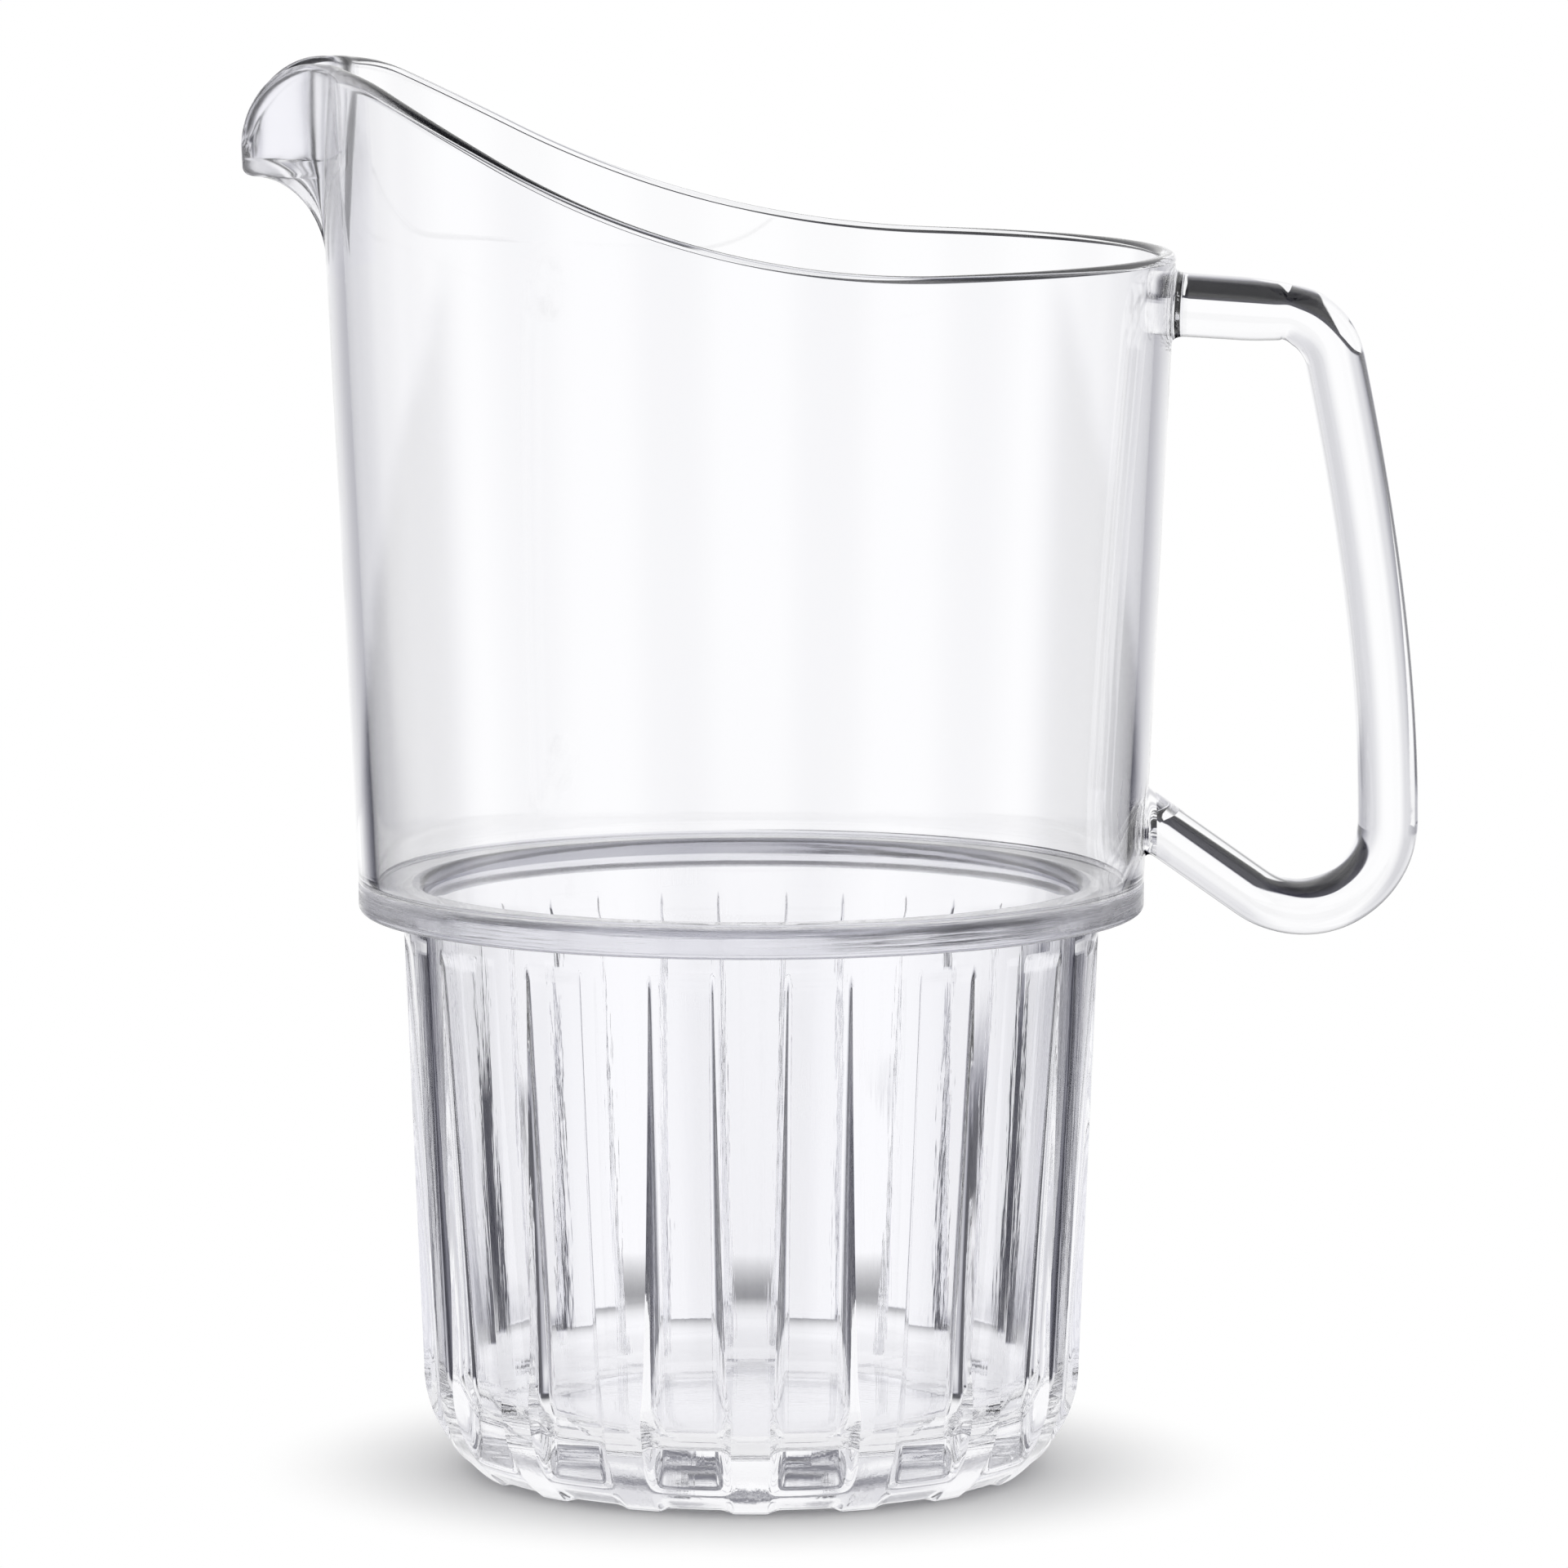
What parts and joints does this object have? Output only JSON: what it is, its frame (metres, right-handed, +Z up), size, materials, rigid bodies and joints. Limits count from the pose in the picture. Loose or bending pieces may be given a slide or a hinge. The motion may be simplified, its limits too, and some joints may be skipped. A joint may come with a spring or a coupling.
{
  "type": "beer pitcher",
  "caption": "Clear plastic beer pitcher with a fluted lower bowl, a stacking step, a climbing rim with a beak spout, and a loop handle.",
  "frame": {"origin": "centre of the ring that stands on the table, on the axis of the bowls", "axes": "+Z up along the bowls' axis, +X towards the handle, -X towards the spout"},
  "size_m": [0.1858, 0.1346, 0.2244],
  "materials": {
    "clear_plastic": "clear, polished",
    "step_plastic": "clear, faintly hazed"
  },
  "bodies": {
    "root": {"upper_bowl": "clear_plastic", "spout": "clear_plastic", "step_ring": "step_plastic", "lower_bowl": "clear_plastic", "handle": "clear_plastic"}
  },
  "joints": []
}
